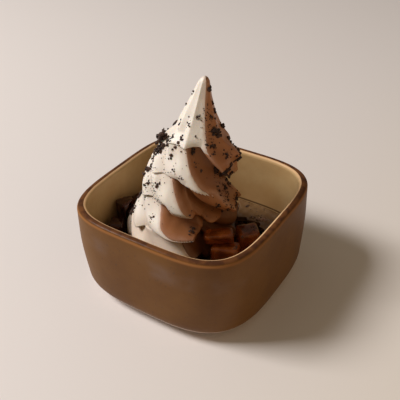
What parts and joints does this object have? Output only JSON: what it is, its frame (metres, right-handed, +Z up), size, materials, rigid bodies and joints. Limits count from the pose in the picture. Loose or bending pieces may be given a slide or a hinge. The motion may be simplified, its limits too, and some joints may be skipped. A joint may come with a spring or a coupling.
{
  "type": "soft serve cup",
  "caption": "Square glazed stoneware bowl holding coffee and coffee jelly, topped with a tall pleated soft serve swirl of vanilla and chocolate dotted with cookie crumbs.",
  "frame": {"origin": "centre of the bowl's foot, on the plane it stands on", "axes": "+Z up through the swirl; X and Y square to the bowl's straight sides, with the flavour edges seen in the picture turned towards the corner between +X and -Y"},
  "size_m": [0.1006, 0.1006, 0.1125],
  "materials": {
    "bowl_glaze": "satin brown glaze outside, cream glaze inside",
    "coffee": "glossy dark liquid",
    "coffee_jelly": "glossy, translucent amber at thin edges",
    "vanilla_soft_serve": "soft satin",
    "chocolate_soft_serve": "soft satin",
    "cookie_crumb": "dry dark crumbs, fused to the soft serve"
  },
  "bodies": {
    "root": {"bowl": "bowl_glaze", "coffee_bed": "coffee", "jelly_slab": "coffee_jelly", "jelly_front_low": "coffee_jelly", "jelly_front_high": "coffee_jelly", "jelly_front_side": "coffee_jelly", "jelly_left_front": "coffee_jelly", "jelly_left_corner": "coffee_jelly", "jelly_left_tall": "coffee_jelly", "jelly_left_back": "coffee_jelly", "jelly_back_left": "coffee_jelly", "jelly_back_corner": "coffee_jelly", "jelly_back": "coffee_jelly", "jelly_side_back": "coffee_jelly", "jelly_near_left": "coffee_jelly", "jelly_near": "coffee_jelly", "jelly_near_corner": "coffee_jelly", "jelly_near_side": "coffee_jelly", "jelly_side_front": "coffee_jelly", "soft_serve_vanilla": "vanilla_soft_serve", "soft_serve_chocolate": "chocolate_soft_serve"}
  },
  "joints": []
}
